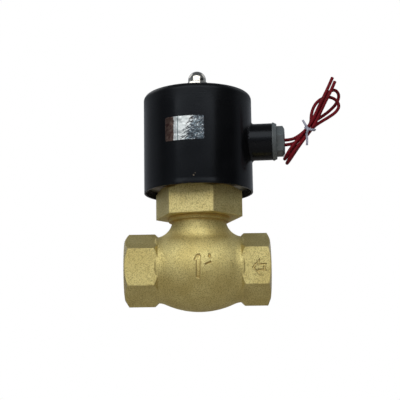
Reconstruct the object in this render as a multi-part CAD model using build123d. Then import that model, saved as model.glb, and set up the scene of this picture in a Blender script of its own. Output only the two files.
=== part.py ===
from build123d import *
import math
import os

# Two-way steam solenoid valve, one inch, normally closed, piston operated.
# Millimetres. Origin: where the port axis meets the coil axis. +Z runs up the coil,
# +X points to the inlet, so the flow arrow points along -X.

FIT = 0.05                    # radial clearance of a threaded or slip fit
COS_30 = math.cos(math.radians(30))

# --- valve body: driving dimensions ---------------------------------------------
INLET_REACH = 46.4            # origin to the inlet face
OUTLET_REACH = 49.3           # origin to the outlet face
PORT_HEX_AF = 42.0            # across flats of both end hexagons
PORT_HEX_START = 26.35        # how far from the coil axis the hexagons start, under the barrel
PORT_FACE_BEVEL = 0.9         # how far the turned bevel cuts into the flats at the face
INLET_BEVEL_SLOPE = 0.40      # rise of the bevel for each unit of its reach
OUTLET_BEVEL_SLOPE = 0.62
PORT_INNER_BEVEL = 3.35       # bevel of the corners next to the barrel
THREAD_R = 15.15              # crest radius of a G1 female thread
THREAD_MOUTH_R = 16.7         # countersunk mouth of the socket
THREAD_MOUTH_DEPTH = 1.5
THREAD_DEPTH = 17.0
SOCKET_FLOOR_R = 13.0
SOCKET_FLOOR_DEPTH = 2.0
BOWL_R = 27.8                 # largest radius of the barrel, at the coil axis
BOWL_ARC_R = 54.0             # how the barrel swells along the port axis
BOWL_HALF = 22.6              # where the swell ends and hollows out to the waist
WAIST_ARC_R = 12.2
WAIST_END = 28.2              # where the waist starts to taper into the hexagon
WAIST_TAPER = (22.0, 2.2, 2.1)    # its radius there, its length and how much it narrows
NECK_R = 17.8
NECK_FILLET = 12.2            # where the neck flows into the barrel
NECK_COLLAR_R = 20.3
NECK_COLLAR_T = 2.6
NECK_BORE_R = 15.5
SPIGOT_R = 18.25
SPIGOT_TOP_Z = 46.0
SEAT_R = 12.5                 # bore of the seat
SEAT_LIP_R = 14.6             # outside of the raised seat lip
SEAT_Z = 4.0                  # top of the seat lip
UPPER_CHAMBER_R = 18.5        # inlet space round the piston
UPPER_CHAMBER_Z0 = 3.0
UPPER_CHAMBER_Z1 = 13.0
LOWER_CHAMBER_R = 13.0        # outlet space below the seat
LOWER_CHAMBER_Z0 = -18.0
LOWER_CHAMBER_Z1 = -4.0
WAY_R = 12.5                  # the ways between the sockets and the chambers, each half a bore
INLET_WAY_X = (14.0, 28.6)
OUTLET_WAY_X = (-31.5, -8.0)
ARROW_TIP = (33.6, -1.2)
ARROW_HEAD = (5.2, 5.8)       # length and half width of the head
ARROW_STEM_HALF = 2.4
ARROW_LENGTH = 9.8
ARROW_NOTCH = 1.4             # how deep the tail is notched
ARROW_GROOVE_W = 1.2
ARROW_GROOVE_D = 0.55
NUMERAL_DEPTH = 0.8
NUMERAL = [
    (-3.8, 3.7), (-1.8, 7.0), (-0.3, 7.2), (0.7, 5.9), (0.1, -8.6), (-2.4, -8.0), (-2.3, 3.3), (-3.3, 2.6),
]
UPPER_MARK = [(5.2, 5.2), (5.9, 7.3), (6.7, 7.2), (7.5, 5.0), (6.4, 4.4)]
LOWER_MARK = [(3.2, 0.7), (7.1, 2.6), (7.5, 1.6), (3.5, -0.3)]

# --- bonnet and guide tube --------------------------------------------------------
BONNET_AF = 51.0
BONNET_TURN = -11.5           # how far the bonnet hexagon stopped from square
BONNET_Z0 = 34.7
BONNET_Z1 = 54.5
BONNET_BEVEL = 1.0
REST_R = 20.5
REST_Z = 56.4                 # top of the bonnet's turned ring, where the coil rests
CEILING_Z = 47.5              # underside of the bonnet's top wall
TUBE_NUT_R = 12.2
TUBE_NUT_BORE_R = 8.5
TUBE_NUT_SLOT = (2.6, 2.4)    # width, and depth above and below the nut's lower face
TUBE_FLANGE_R = 11.9
TUBE_FLANGE_Z0 = 50.2
TUBE_FLANGE_Z1 = 51.4
SEAL_GROOVE_R = 11.5
SEAL_GROOVE_Z1 = 52.9
SEAL_MEAN_R = 10.4
SEAL_SECTION_R = 0.75
TUBE_IN_R = 8.0
TUBE_OUT_R = 8.8
TUBE_TOP_Z = 98.0

# --- piston, plunger and core -----------------------------------------------------
PISTON_STROKE = 7.0
PILOT_STROKE = 3.0
PISTON_R = NECK_BORE_R - 0.06
PISTON_Z0 = 6.5
PISTON_TOP_Z = 31.0
PISTON_BOSS_R = 11.4          # centre boss inside the spring pocket
PISTON_BOSS_Z = 28.0
POCKET_R = 14.7
POCKET_Z = 20.0               # floor of the spring pocket
RING_Z0 = 15.4                # the piston ring's groove
RING_Z1 = 18.0
RING_GROOVE_R = 14.2
CAGE_R = 11.2
CAGE_BORE_R = 7.4
CAGE_SEAT_R = CAGE_BORE_R - 0.1   # the boss's thinner top, which the lift cage is screwed on
CAGE_Z0 = 25.0
CAGE_TOP_Z = 38.0
CAGE_LIP_Z = 36.2
CAGE_LIP_R = 5.4
NOZZLE_Z = 30.2               # top of the pilot nozzle, where the pilot seal rests
NOZZLE_FOOT_R = 4.0
NOZZLE_TIP_R = 2.4
PILOT_BORE_R = 1.5
DISC_T = PISTON_Z0 - SEAT_Z
DISC_R = 14.4
DISC_BORE_R = 4.1
DISC_WASHER_R = 10.8
DISC_WASHER_T = 1.6
DISC_SCREW_R = 4.0
DISC_SCREW_TOP_Z = 14.0
DISC_SCREW_AF = 13.0
DISC_SCREW_HEAD_T = 2.8
PLUNGER_R = 7.9
PLUNGER_Z0 = 40.0
PLUNGER_TOP_Z = 73.0
PLUNGER_BEVEL = 0.6
STEM_R = 4.8
STEM_COLLAR_R = 6.5           # the collar that lifts the cage
STEM_COLLAR_Z0 = NOZZLE_Z + 0.6
STEM_COLLAR_Z1 = 33.2
PILOT_SEAL_R = 3.4
PILOT_SEAL_T = 2.0
SPRING_HOLE_R = 3.2           # hole in plunger and core that holds the plunger spring
SPRING_HOLE_Z0 = 58.0
SLOT_W = 2.4                  # two slots down the plunger's sides
SLOT_D = 0.9
SLOT_Z0 = 36.0
SLOT_Z1 = 76.0
CORE_Z = PLUNGER_TOP_Z + PISTON_STROKE + PILOT_STROKE
CORE_HOLE_Z1 = CORE_Z + 7.0
CORE_CAP_T = 3.0
STUD_R = 3.9
STUD_TOP_Z = 131.0
SHADING_R = (5.2, 6.8)        # groove in the pole face for the shading ring
SHADING_T = 2.6

# --- coil ---------------------------------------------------------------------------
CAN_R = 36.5
CAN_WALL = 1.2
CAN_Z0 = 51.7
CAN_Z1 = 119.0
CAN_SHOULDER_R = 4.0
STUD_HOLE_R = 4.3
BASE_PLATE_T = 2.0
FLUX_WASHER_T = 2.6
FLUX_WASHER_R = CAN_R - 5.4
SLEEVE_IN_R = 9.1
SLEEVE_OUT_R = 10.4
SLEEVE_SLIT = 0.8
LOWER_SLEEVE_LENGTH = 13.0
UPPER_SLEEVE_LENGTH = 24.0
WINDING_R = 30.0
TAPE_T = 0.6
BOBBIN_WALL = 1.6
BOBBIN_FLANGE_T = 1.8
BOBBIN_Z0 = REST_Z + BASE_PLATE_T
BOBBIN_Z1 = CAN_Z1 - CAN_WALL - FLUX_WASHER_T
COIL_TURN = -6.0              # the conduit boss points this far in front of +X
BOSS_Z = 85.3
BOSS_R = 12.4
BOSS_BORE_R = 10.8
BOSS_ROOT = 34.2              # where the boss starts, inside the can's wall
BOSS_END = 50.5
LABEL_SIZE = (26.6, 15.9)
LABEL_T = 0.2
LABEL_CORNER_R = 1.2
LABEL_AZIMUTH = -14.5         # label centre, degrees left of the front
LABEL_Z = 88.3

# --- gland, nut, leads and tie --------------------------------------------------------
PLUG_START = 41.0
GLAND_FLANGE_R = 12.9
GLAND_FLANGE_END = 53.2
GLAND_FLANGE_ROUND = 0.4
GLAND_FLANGE_BEVEL = (1.0, 2.1)   # the flange's cone: its length and how far it goes in
GLAND_HEX_AF = 18.0
GLAND_HEX_TURN = 18.5
GLAND_HEX_BEVEL = 0.6
GLAND_END = 58.5
GLAND_BORE_R = 5.0
GROMMET_START = 42.0
GROMMET_END = GLAND_END - 1.3
FLAT_WASHER_R = 8.0
FLAT_WASHER_T = 1.4
LOCK_WASHER_R = 6.4
LOCK_WASHER_T = 1.8
WASHER_BORE_R = 4.2
NUT_Z = CAN_Z1 + FLAT_WASHER_T + LOCK_WASHER_T
NUT_AF = 13.0
NUT_HEX_H = 6.5
NUT_TURN = 15.0
NUT_BEVEL = 0.4
NUT_DOME_R = 6.1
NUT_TOP_Z = 136.4
WIRE_D = 2.2
TIE_R = 0.65
TIE_KNOT = (75.3, -6.0, 94.1)
TIE_BAND = (6.6, 8.6, 2.0)    # the band's middle line: across, front to back, corner radius
TIE_FRONT = -10.5             # the tails' depth, in front of the strands


def save(name, shape):
    """Write one sub-part, and say how big it is."""
    shape.label = name
    export_step(shape, f"parts/{name}.step")
    print(f"{name:18s} {len(shape.solids())} solid(s) {shape.volume:10.1f} mm3")


def rod(radius, z0, z1):
    """An upright cylinder on the coil axis between two heights."""
    return Pos(0, 0, (z0 + z1) / 2) * Cylinder(radius, z1 - z0)


def ring(outer, inner, z0, z1):
    """An upright tube on the coil axis between two heights."""
    return rod(outer, z0, z1) - rod(inner, z0, z1)


def bar(radius, start, end):
    """A round bar between two points."""
    axis = Vector(*end) - Vector(*start)
    plane = Plane(origin=start, z_dir=axis)
    return extrude(plane * Circle(radius), axis.length)


def side_bar(radius, start, end):
    """A round bar on the conduit boss's axis, before the coil is turned."""
    return bar(radius, (start, 0, BOSS_Z), (end, 0, BOSS_Z))


def hexagon(across_flats, length, flat_angle=0.0):
    """A hexagonal bar on +Z from the origin, one flat facing flat_angle degrees."""
    outline = RegularPolygon(across_flats / 2, 6, major_radius=False, rotation=flat_angle + 30)
    return extrude(outline, length)


def chamfer_cone(across_flats, length, bevel, slope=0.577):
    """The turned envelope that bevels the corners of a hexagon at its upper end."""
    flat = across_flats / 2
    corner = flat / COS_30 + 0.5
    drop = (corner - flat + bevel) * slope
    profile = Polyline(
        (0, 0), (corner, 0), (corner, length - drop), (flat - bevel, length), (0, length), close=True
    )
    return revolve(make_face(Plane.XZ * profile), Axis.Z)


# --- valve body ---------------------------------------------------------------------
def barrel(shrink=0.0):
    """The swollen barrel and its plain waist, turned about the port axis."""
    turn = math.asin(BOWL_HALF / BOWL_ARC_R)
    shoulder = BOWL_R - BOWL_ARC_R * (1 - math.cos(turn)) - shrink
    waist = shoulder - WAIST_ARC_R * (1 - math.cos(turn))
    waist_x = BOWL_HALF + WAIST_ARC_R * math.sin(turn)
    middle_x = waist_x - WAIST_ARC_R * math.sin(turn / 2)
    middle = waist + WAIST_ARC_R * (1 - math.cos(turn / 2))
    swell = ThreePointArc((-BOWL_HALF, shoulder), (0, BOWL_R - shrink), (BOWL_HALF, shoulder))
    right = ThreePointArc((BOWL_HALF, shoulder), (middle_x, middle), (waist_x, waist))
    left = ThreePointArc((-waist_x, waist), (-middle_x, middle), (-BOWL_HALF, shoulder))
    end = INLET_REACH - 5
    rest = Polyline((waist_x, waist), (end, waist), (end, 0), (-end, 0), (-end, waist), (-waist_x, waist))
    return revolve(make_face([*swell.edges(), *right.edges(), *rest.edges(), *left.edges()]), Axis.X)


def waist_envelope():
    """The space that the barrel keeps: it tapers away where the hexagons start."""
    radius, length, narrowing = WAIST_TAPER
    end = WAIST_END + length
    half = [(WAIST_END, 60), (WAIST_END, radius), (end, radius - narrowing), (end, 0)]
    mirrored = [(-x, r) for x, r in reversed(half)]
    return revolve(make_face(Polyline(*half, *mirrored, close=True)), Axis.X)


def port_hex(face_x, side, bevel_slope):
    """One end hexagon, corners up and down, with its corners turned off at both ends."""
    length = abs(face_x) - PORT_HEX_START
    envelope = chamfer_cone(PORT_HEX_AF, length, PORT_FACE_BEVEL, bevel_slope)
    corner = PORT_HEX_AF / 2 / COS_30 + 0.1
    inner = Polyline(
        (0, 0), (corner - PORT_INNER_BEVEL, 0), (corner, PORT_INNER_BEVEL), (corner, length), (0, length),
        close=True
    )
    blank = hexagon(PORT_HEX_AF, length) & envelope & revolve(make_face(Plane.XZ * inner), Axis.Z)
    frame = Plane(origin=(side * PORT_HEX_START, 0, 0), x_dir=(0, 1, 0), z_dir=(side, 0, 0))
    return frame.location * blank


def port_bore(face_x, side):
    """The threaded socket of one port, as the space to cut away."""
    end = THREAD_DEPTH + SOCKET_FLOOR_DEPTH
    profile = Polyline(
        (0, 0), (THREAD_MOUTH_R, 0), (THREAD_R, THREAD_MOUTH_DEPTH), (THREAD_R, THREAD_DEPTH),
        (SOCKET_FLOOR_R, end), (0, end), close=True
    )
    cut = revolve(make_face(Plane.XZ * profile), Axis.Z)
    frame = Plane(origin=(face_x, 0, 0), x_dir=(0, 1, 0), z_dir=(-side, 0, 0))
    return frame.location * cut


def flow_arrow():
    """The grooved outline of a broad arrow on the inlet hexagon, pointing to the outlet."""
    x, z = ARROW_TIP
    head, half_head = ARROW_HEAD
    stem = ARROW_STEM_HALF
    points = [
        (x, z), (x + head, z + half_head), (x + head, z + stem), (x + ARROW_LENGTH, z + stem),
        (x + ARROW_LENGTH - ARROW_NOTCH, z), (x + ARROW_LENGTH, z - stem), (x + head, z - stem),
        (x + head, z - half_head),
    ]
    outline = make_face(Polyline(*points, close=True))
    groove = outline - offset(outline, amount=-ARROW_GROOVE_W, kind=Kind.INTERSECTION)
    face = Plane(origin=(0, ARROW_GROOVE_D - PORT_HEX_AF / 2, 0), x_dir=(1, 0, 0), z_dir=(0, -1, 0))
    return extrude(face * groove, 1.0)


def numeral():
    """The plain figure one and the two marks beside it, sunk into the front of the bowl."""
    shapes = [make_face(Polyline(*points, close=True)) for points in (NUMERAL, UPPER_MARK, LOWER_MARK)]
    face = Plane(origin=(0, -10, 0), x_dir=(1, 0, 0), z_dir=(0, -1, 0))
    columns = [extrude(face * shape, 25) for shape in shapes]
    return Compound(children=columns) - barrel(NUMERAL_DEPTH)


def half_way(reach, wall_z, side):
    """A way along the port axis, the part of a round bore on one side of the seat's wall."""
    start, end = reach
    bore = bar(WAY_R, (start, 0, 0), (end, 0, 0))
    middle = Pos((start + end) / 2, 0, wall_z + side * WAY_R)
    return bore & middle * Box(end - start, 2 * WAY_R, 2 * WAY_R)


def flow_ways():
    """All the space inside the casting: chambers, seat throat, ways and sockets."""
    taper = 3.0
    upper = rod(UPPER_CHAMBER_R, UPPER_CHAMBER_Z0, UPPER_CHAMBER_Z1)
    upper = upper + Pos(0, 0, UPPER_CHAMBER_Z1 + taper / 2) * Cone(UPPER_CHAMBER_R, NECK_BORE_R, taper)
    upper = upper + rod(NECK_BORE_R, UPPER_CHAMBER_Z1 + taper - 1, SPIGOT_TOP_Z + 1)
    upper = upper - ring(SEAT_LIP_R, SEAT_R, UPPER_CHAMBER_Z0 - 1, SEAT_Z)
    throat = rod(SEAT_R, LOWER_CHAMBER_Z1 - 1, SEAT_Z + 1)
    lower = rod(LOWER_CHAMBER_R, LOWER_CHAMBER_Z0, LOWER_CHAMBER_Z1)
    ways = half_way(INLET_WAY_X, UPPER_CHAMBER_Z0, 1) + half_way(OUTLET_WAY_X, LOWER_CHAMBER_Z1, -1)
    sockets = port_bore(INLET_REACH, 1) + port_bore(-OUTLET_REACH, -1)
    return upper + throat + lower + ways + sockets


def valve_body():
    """The cast brass globe body: barrel, end hexagons, neck and threaded spigot."""
    casting = barrel() + rod(NECK_R, 5.0, SPIGOT_TOP_Z)
    root = casting.edges().filter_by(lambda e: 15 < e.center().Z < 27 and e.length > 40)
    casting = fillet(root, NECK_FILLET) & waist_envelope()
    casting = casting + port_hex(INLET_REACH, 1, INLET_BEVEL_SLOPE)
    casting = casting + port_hex(-OUTLET_REACH, -1, OUTLET_BEVEL_SLOPE)
    casting = casting + rod(NECK_COLLAR_R, BONNET_Z0 - NECK_COLLAR_T, BONNET_Z0)
    casting = casting + rod(SPIGOT_R, BONNET_Z0 - 1, SPIGOT_TOP_Z)
    return casting - flow_ways() - flow_arrow() - numeral()


# --- bonnet and guide tube ----------------------------------------------------------
def bonnet():
    """The hexagonal brass cap, threaded inside, with a turned ring for the coil."""
    height = BONNET_Z1 - BONNET_Z0
    blank = hexagon(BONNET_AF, height, 90 + BONNET_TURN) & chamfer_cone(BONNET_AF, height, BONNET_BEVEL)
    cap = Pos(0, 0, BONNET_Z0) * blank + rod(REST_R, BONNET_Z1 - 1, REST_Z)
    cap = cap - rod(SPIGOT_R + FIT, BONNET_Z0 - 1, CEILING_Z)
    cap = cap - rod(TUBE_OUT_R + FIT, CEILING_Z - 1, REST_Z + 1)
    cap = cap - rod(TUBE_NUT_R + FIT, CEILING_Z - 1, TUBE_FLANGE_Z1)
    return cap - ring(SEAL_GROOVE_R, TUBE_OUT_R, TUBE_FLANGE_Z1 - 0.4, SEAL_GROOVE_Z1)


def bonnet_gasket():
    """The flat ring that the bonnet squeezes on top of the spigot."""
    return ring(SPIGOT_R - 0.1, NECK_BORE_R + 0.1, SPIGOT_TOP_Z, CEILING_Z)


def guide_tube():
    """The thin stainless tube that the plunger slides in, flanged at its foot."""
    tube = ring(TUBE_OUT_R, TUBE_IN_R, TUBE_FLANGE_Z0, TUBE_TOP_Z)
    return tube + ring(TUBE_FLANGE_R, TUBE_IN_R, TUBE_FLANGE_Z0, TUBE_FLANGE_Z1)


def tube_nut():
    """The threaded ring that holds the guide tube's flange up in the bonnet."""
    width, depth = TUBE_NUT_SLOT
    nut = ring(TUBE_NUT_R, TUBE_NUT_BORE_R, CEILING_Z, TUBE_FLANGE_Z0)
    return nut - Pos(0, 0, CEILING_Z) * Box(3 * TUBE_NUT_R, width, depth)


def tube_seal():
    """The O-ring above the guide tube's flange."""
    return Pos(0, 0, TUBE_FLANGE_Z1 + SEAL_SECTION_R) * Torus(SEAL_MEAN_R, SEAL_SECTION_R)


def fixed_core():
    """The iron stop in the top of the tube, with the stud that holds the coil down."""
    cap_z = TUBE_TOP_Z + CORE_CAP_T
    core = rod(TUBE_IN_R - FIT, CORE_Z, TUBE_TOP_Z) + rod(TUBE_OUT_R, TUBE_TOP_Z, cap_z)
    core = core + rod(STUD_R, cap_z, STUD_TOP_Z)
    core = core - ring(SHADING_R[1], SHADING_R[0], CORE_Z - 1, CORE_Z + SHADING_T)
    return core - rod(SPRING_HOLE_R, CORE_Z - 1, CORE_HOLE_Z1)


def shading_ring():
    """The copper ring let into the pole face, which stops the hum."""
    return ring(SHADING_R[1] - FIT, SHADING_R[0] + FIT, CORE_Z, CORE_Z + SHADING_T)


# --- piston -------------------------------------------------------------------------
def piston():
    """The main piston: spring pocket, ring groove and the pilot nozzle on its boss."""
    above = PISTON_TOP_Z + 1
    shell = rod(PISTON_R, PISTON_Z0, PISTON_TOP_Z)
    shell = shell - ring(POCKET_R, PISTON_BOSS_R, POCKET_Z, above)
    shell = shell - ring(PISTON_R + 1, RING_GROOVE_R, RING_Z0, RING_Z1)
    shell = shell - rod(PISTON_BOSS_R + 0.1, PISTON_BOSS_Z, above)
    nozzle_h = NOZZLE_Z - PISTON_BOSS_Z
    shell = shell + Pos(0, 0, PISTON_BOSS_Z + nozzle_h / 2) * Cone(NOZZLE_FOOT_R, NOZZLE_TIP_R, nozzle_h)
    shell = shell - rod(PILOT_BORE_R, PISTON_Z0 - 1, NOZZLE_Z + 1)
    shell = shell - rod(DISC_SCREW_R + FIT, PISTON_Z0 - 1, DISC_SCREW_TOP_Z)
    return shell - ring(PISTON_BOSS_R + 1, CAGE_SEAT_R, CAGE_Z0, PISTON_BOSS_Z + 1)


def piston_ring():
    """The PTFE ring in the piston's groove, split at the back."""
    band = ring(PISTON_R + 0.03, RING_GROOVE_R + 0.1, RING_Z0, RING_Z1)
    return band - Pos(0, NECK_BORE_R, RING_Z0) * Box(0.8, 4, 8)


def seat_disc():
    """The PTFE disc that closes on the seat lip."""
    return ring(DISC_R, DISC_BORE_R, SEAT_Z, SEAT_Z + DISC_T)


def disc_washer():
    """The brass washer that holds the seat disc."""
    return ring(DISC_WASHER_R, DISC_BORE_R, SEAT_Z - DISC_WASHER_T, SEAT_Z)


def disc_screw():
    """The hollow screw through the washer and disc, which the pilot flow leaves by."""
    head_z = SEAT_Z - DISC_WASHER_T - DISC_SCREW_HEAD_T
    screw = Pos(0, 0, head_z) * hexagon(DISC_SCREW_AF, DISC_SCREW_HEAD_T)
    screw = screw + rod(DISC_SCREW_R, SEAT_Z - DISC_WASHER_T - 0.1, DISC_SCREW_TOP_Z)
    return screw - rod(PILOT_BORE_R, head_z - 1, DISC_SCREW_TOP_Z + 1)


def lift_cage():
    """The cage screwed on the piston boss: its lip lets the plunger pull the piston up."""
    cage = ring(CAGE_R, CAGE_BORE_R, CAGE_Z0, CAGE_TOP_Z)
    return cage + ring(CAGE_BORE_R + 0.6, CAGE_LIP_R, CAGE_LIP_Z, CAGE_TOP_Z)


# --- plunger ------------------------------------------------------------------------
def plunger():
    """The iron plunger: body in the guide tube, stem, and the collar inside the cage."""
    body = rod(PLUNGER_R, PLUNGER_Z0, PLUNGER_TOP_Z)
    body = chamfer(body.edges().filter_by(GeomType.CIRCLE), PLUNGER_BEVEL)
    body = body + rod(STEM_R, STEM_COLLAR_Z1 - 0.2, PLUNGER_Z0 + 1)
    body = body + rod(STEM_COLLAR_R, STEM_COLLAR_Z0, STEM_COLLAR_Z1)
    body = body - rod(PILOT_SEAL_R, NOZZLE_Z, NOZZLE_Z + PILOT_SEAL_T)
    body = body - rod(SPRING_HOLE_R, SPRING_HOLE_Z0, PLUNGER_TOP_Z + 1)
    for side in (-1, 1):
        slot = Box(SLOT_W, 2 * SLOT_D, SLOT_Z1 - SLOT_Z0)
        body = body - Pos(0, side * PLUNGER_R, (SLOT_Z0 + SLOT_Z1) / 2) * slot
    return body


def pilot_seal():
    """The soft disc in the plunger's foot that closes the pilot nozzle."""
    return rod(PILOT_SEAL_R, NOZZLE_Z, NOZZLE_Z + PILOT_SEAL_T)


def spring(mean_r, wire_r, z0, z1, turns):
    """A round-wire compression spring between two heights."""
    height = z1 - z0 - 2 * wire_r
    path = Helix(pitch=height / turns, height=height, radius=mean_r)
    section = Plane(origin=path @ 0, z_dir=path % 0) * Circle(wire_r)
    return Pos(0, 0, z0 + wire_r) * sweep(section, path=path)


# --- coil ---------------------------------------------------------------------------
def coil_can():
    """The deep-drawn steel can, open below, with its stud hole and conduit hole."""
    can = rod(CAN_R, CAN_Z0, CAN_Z1)
    can = fillet(can.edges().sort_by(Axis.Z)[-1], CAN_SHOULDER_R)
    hollow = rod(CAN_R - CAN_WALL, CAN_Z0 - 1, CAN_Z1 - CAN_WALL)
    hollow = fillet(hollow.edges().sort_by(Axis.Z)[-1], CAN_SHOULDER_R - CAN_WALL)
    can = can - hollow - rod(STUD_HOLE_R, CAN_Z1 - 3, CAN_Z1 + 1)
    return Rot(0, 0, COIL_TURN) * (can - side_bar(BOSS_R, CAN_R / 2, CAN_R + 10))


def conduit_boss():
    """The short threaded tube welded into the can's side."""
    tube = side_bar(BOSS_R, BOSS_ROOT, BOSS_END) - side_bar(BOSS_BORE_R, BOSS_ROOT - 1, BOSS_END + 1)
    return Rot(0, 0, COIL_TURN) * tube


def base_plate():
    """The plated steel disc that closes the can and rests on the bonnet."""
    return ring(CAN_R - CAN_WALL - FIT, SLEEVE_IN_R, REST_Z, REST_Z + BASE_PLATE_T)


def flux_washer():
    """The steel disc between the bobbin and the top of the can."""
    return ring(FLUX_WASHER_R, SLEEVE_IN_R, BOBBIN_Z1, BOBBIN_Z1 + FLUX_WASHER_T)


def bobbin():
    """The moulded spool that carries the winding."""
    bore = SLEEVE_OUT_R + FIT
    spool = ring(SLEEVE_OUT_R + BOBBIN_WALL, bore, BOBBIN_Z0, BOBBIN_Z1)
    for z in (BOBBIN_Z0, BOBBIN_Z1 - BOBBIN_FLANGE_T):
        spool = spool + ring(WINDING_R + BOBBIN_WALL, bore, z, z + BOBBIN_FLANGE_T)
    return spool


def winding():
    """The copper winding, as one solid ring."""
    return ring(
        WINDING_R, SLEEVE_OUT_R + BOBBIN_WALL, BOBBIN_Z0 + BOBBIN_FLANGE_T, BOBBIN_Z1 - BOBBIN_FLANGE_T
    )


def winding_tape():
    """The glass tape round the winding."""
    return ring(WINDING_R + TAPE_T, WINDING_R, BOBBIN_Z0 + BOBBIN_FLANGE_T, BOBBIN_Z1 - BOBBIN_FLANGE_T)


def pole_sleeve(z0, z1):
    """A split steel sleeve that leads the flux from a disc to the plunger."""
    slit = Pos(0, SLEEVE_OUT_R, (z0 + z1) / 2) * Box(SLEEVE_SLIT, 4, z1 - z0 + 2)
    return ring(SLEEVE_OUT_R, SLEEVE_IN_R, z0, z1) - slit


def foil_label():
    """The blank foil label stuck on the front of the can."""
    width, height = LABEL_SIZE
    sheet = ring(CAN_R + LABEL_T, CAN_R, LABEL_Z - height, LABEL_Z + height)
    front = Plane(origin=(0, 0, LABEL_Z), x_dir=(1, 0, 0), z_dir=(0, -1, 0))
    chord = 2 * CAN_R * math.sin(width / 2 / CAN_R)
    window = extrude(front * RectangleRounded(chord, height, LABEL_CORNER_R), 2 * CAN_R)
    return Rot(0, 0, LABEL_AZIMUTH) * (sheet & window)


# --- gland and nut --------------------------------------------------------------------
def gland_body():
    """The conduit plug: threaded spigot, round flange and hexagon head."""
    plug = side_bar(BOSS_BORE_R - FIT, PLUG_START, BOSS_END)
    flange = side_bar(GLAND_FLANGE_R, BOSS_END, GLAND_FLANGE_END)
    face = flange.faces().sort_by(Axis.X)[-1]
    flange = chamfer(face.edges(), *GLAND_FLANGE_BEVEL, reference=face)
    flange = fillet(flange.edges().filter_by(GeomType.CIRCLE).sort_by(Axis.X)[0], GLAND_FLANGE_ROUND)
    length = GLAND_END - GLAND_FLANGE_END
    head = hexagon(GLAND_HEX_AF, length, GLAND_HEX_TURN)
    head = head & chamfer_cone(GLAND_HEX_AF, length, GLAND_HEX_BEVEL)
    seat = Plane(origin=(GLAND_FLANGE_END, 0, BOSS_Z), x_dir=(0, -1, 0), z_dir=(1, 0, 0))
    body = plug + flange + seat.location * head - side_bar(GLAND_BORE_R, PLUG_START - 1, GLAND_END + 1)
    return Rot(0, 0, COIL_TURN) * body


def gland_grommet():
    """The rubber plug in the gland, which the two leads come out of."""
    return Rot(0, 0, COIL_TURN) * side_bar(GLAND_BORE_R - 0.02, GROMMET_START, GROMMET_END)


def flat_washer():
    """The wide washer on top of the can."""
    return ring(FLAT_WASHER_R, WASHER_BORE_R, CAN_Z1, CAN_Z1 + FLAT_WASHER_T)


def spring_washer():
    """The split lock washer under the cap nut."""
    z0 = CAN_Z1 + FLAT_WASHER_T
    split = Pos((LOCK_WASHER_R + WASHER_BORE_R) / 2, 0, z0) * Box(4, 0.8, 3 * LOCK_WASHER_T)
    return ring(LOCK_WASHER_R, WASHER_BORE_R, z0, z0 + LOCK_WASHER_T) - split


def acorn_nut():
    """The plated cap nut on the stud: hexagon below, round dome above."""
    head = hexagon(NUT_AF, NUT_HEX_H, NUT_TURN) & chamfer_cone(NUT_AF, NUT_HEX_H, NUT_BEVEL)
    dome_z = NUT_TOP_Z - NUT_DOME_R
    nut = Pos(0, 0, NUT_Z) * head + rod(NUT_DOME_R, NUT_Z + NUT_HEX_H - 1, dome_z)
    nut = nut + Pos(0, 0, dome_z) * Sphere(NUT_DOME_R)
    return nut - rod(STUD_R + FIT, NUT_Z - 1, STUD_TOP_Z + 0.5)


# --- leads and tie --------------------------------------------------------------------
# Each lead leaves the gland, rises to the tie, goes round its upper loop, comes back
# through the tie, folds forward below, and passes the tie a third time to its cut end.
LEAD_1 = [
    (56.9, -6.0, 86.0), (62.2, -6.56, 86.0), (66.8, -6.3, 88.0), (72.3, -6.0, 92.4),
    (76.3, -6.0, 97.4), (76.6, -5.6, 103.7), (78.8, -4.8, 109.9), (82.8, -3.69, 114.5),
    (88.4, -3.27, 116.7), (93.9, -3.16, 114.9), (96.4, -3.16, 109.9), (93.6, -3.27, 105.5),
    (88.6, -3.48, 102.1), (83.4, -3.58, 99.1), (78.3, -3.64, 95.8), (74.3, -3.48, 90.8),
    (70.4, -2.4, 85.9), (66.3, 0.0, 80.4), (62.8, 1.4, 75.4), (60.2, -1.1, 71.5), (59.1, -6.0, 70.0),
    (60.2, -10.9, 71.5), (62.8, -13.4, 75.4), (66.4, -12.2, 80.2), (70.3, -9.8, 85.2),
    (74.3, -8.52, 90.4), (78.3, -8.36, 95.8), (81.3, -8.31, 101.7), (84.4, -8.21, 108.1),
    (87.6, -8.21, 114.4), (90.8, -8.21, 120.3), (93.2, -8.2, 125.8),
]
LEAD_2 = [
    (56.9, -6.0, 82.7), (62.0, -6.54, 82.7), (67.4, -6.2, 85.4), (74.3, -6.0, 90.8),
    (78.3, -6.0, 95.8), (80.6, -6.0, 101.5), (82.6, -6.0, 107.9), (85.2, -6.1, 114.1),
    (89.0, -5.3, 119.5), (93.9, -2.2, 122.0), (97.2, 1.6, 118.9), (95.2, 3.0, 113.4),
    (90.6, 1.4, 108.4), (85.6, -1.4, 104.1), (80.6, -3.38, 100.5), (76.3, -3.64, 97.4),
    (72.3, -3.53, 92.4), (68.3, -2.4, 87.3), (64.6, 0.0, 83.0), (61.3, 1.4, 78.3), (58.7, -1.1, 74.4),
    (57.6, -6.0, 72.9), (58.7, -10.9, 74.4), (61.3, -13.4, 78.3), (64.6, -12.2, 82.9),
    (68.1, -9.8, 87.4), (72.0, -8.52, 92.0), (76.3, -8.36, 97.4), (79.2, -8.73, 103.1),
    (82.2, -9.15, 109.3), (85.4, -9.36, 115.5), (88.4, -9.25, 121.5), (91.5, -9.0, 128.3),
]
SHORT_TAIL = [(75.6, TIE_FRONT, 93.5), (70.7, TIE_FRONT - 0.5, 99.6)]
LONG_TAIL = [(75.2, TIE_FRONT, 94.6), (73.3, TIE_FRONT - 0.5, 88.4), (72.8, TIE_FRONT - 0.3, 82.0)]


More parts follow.
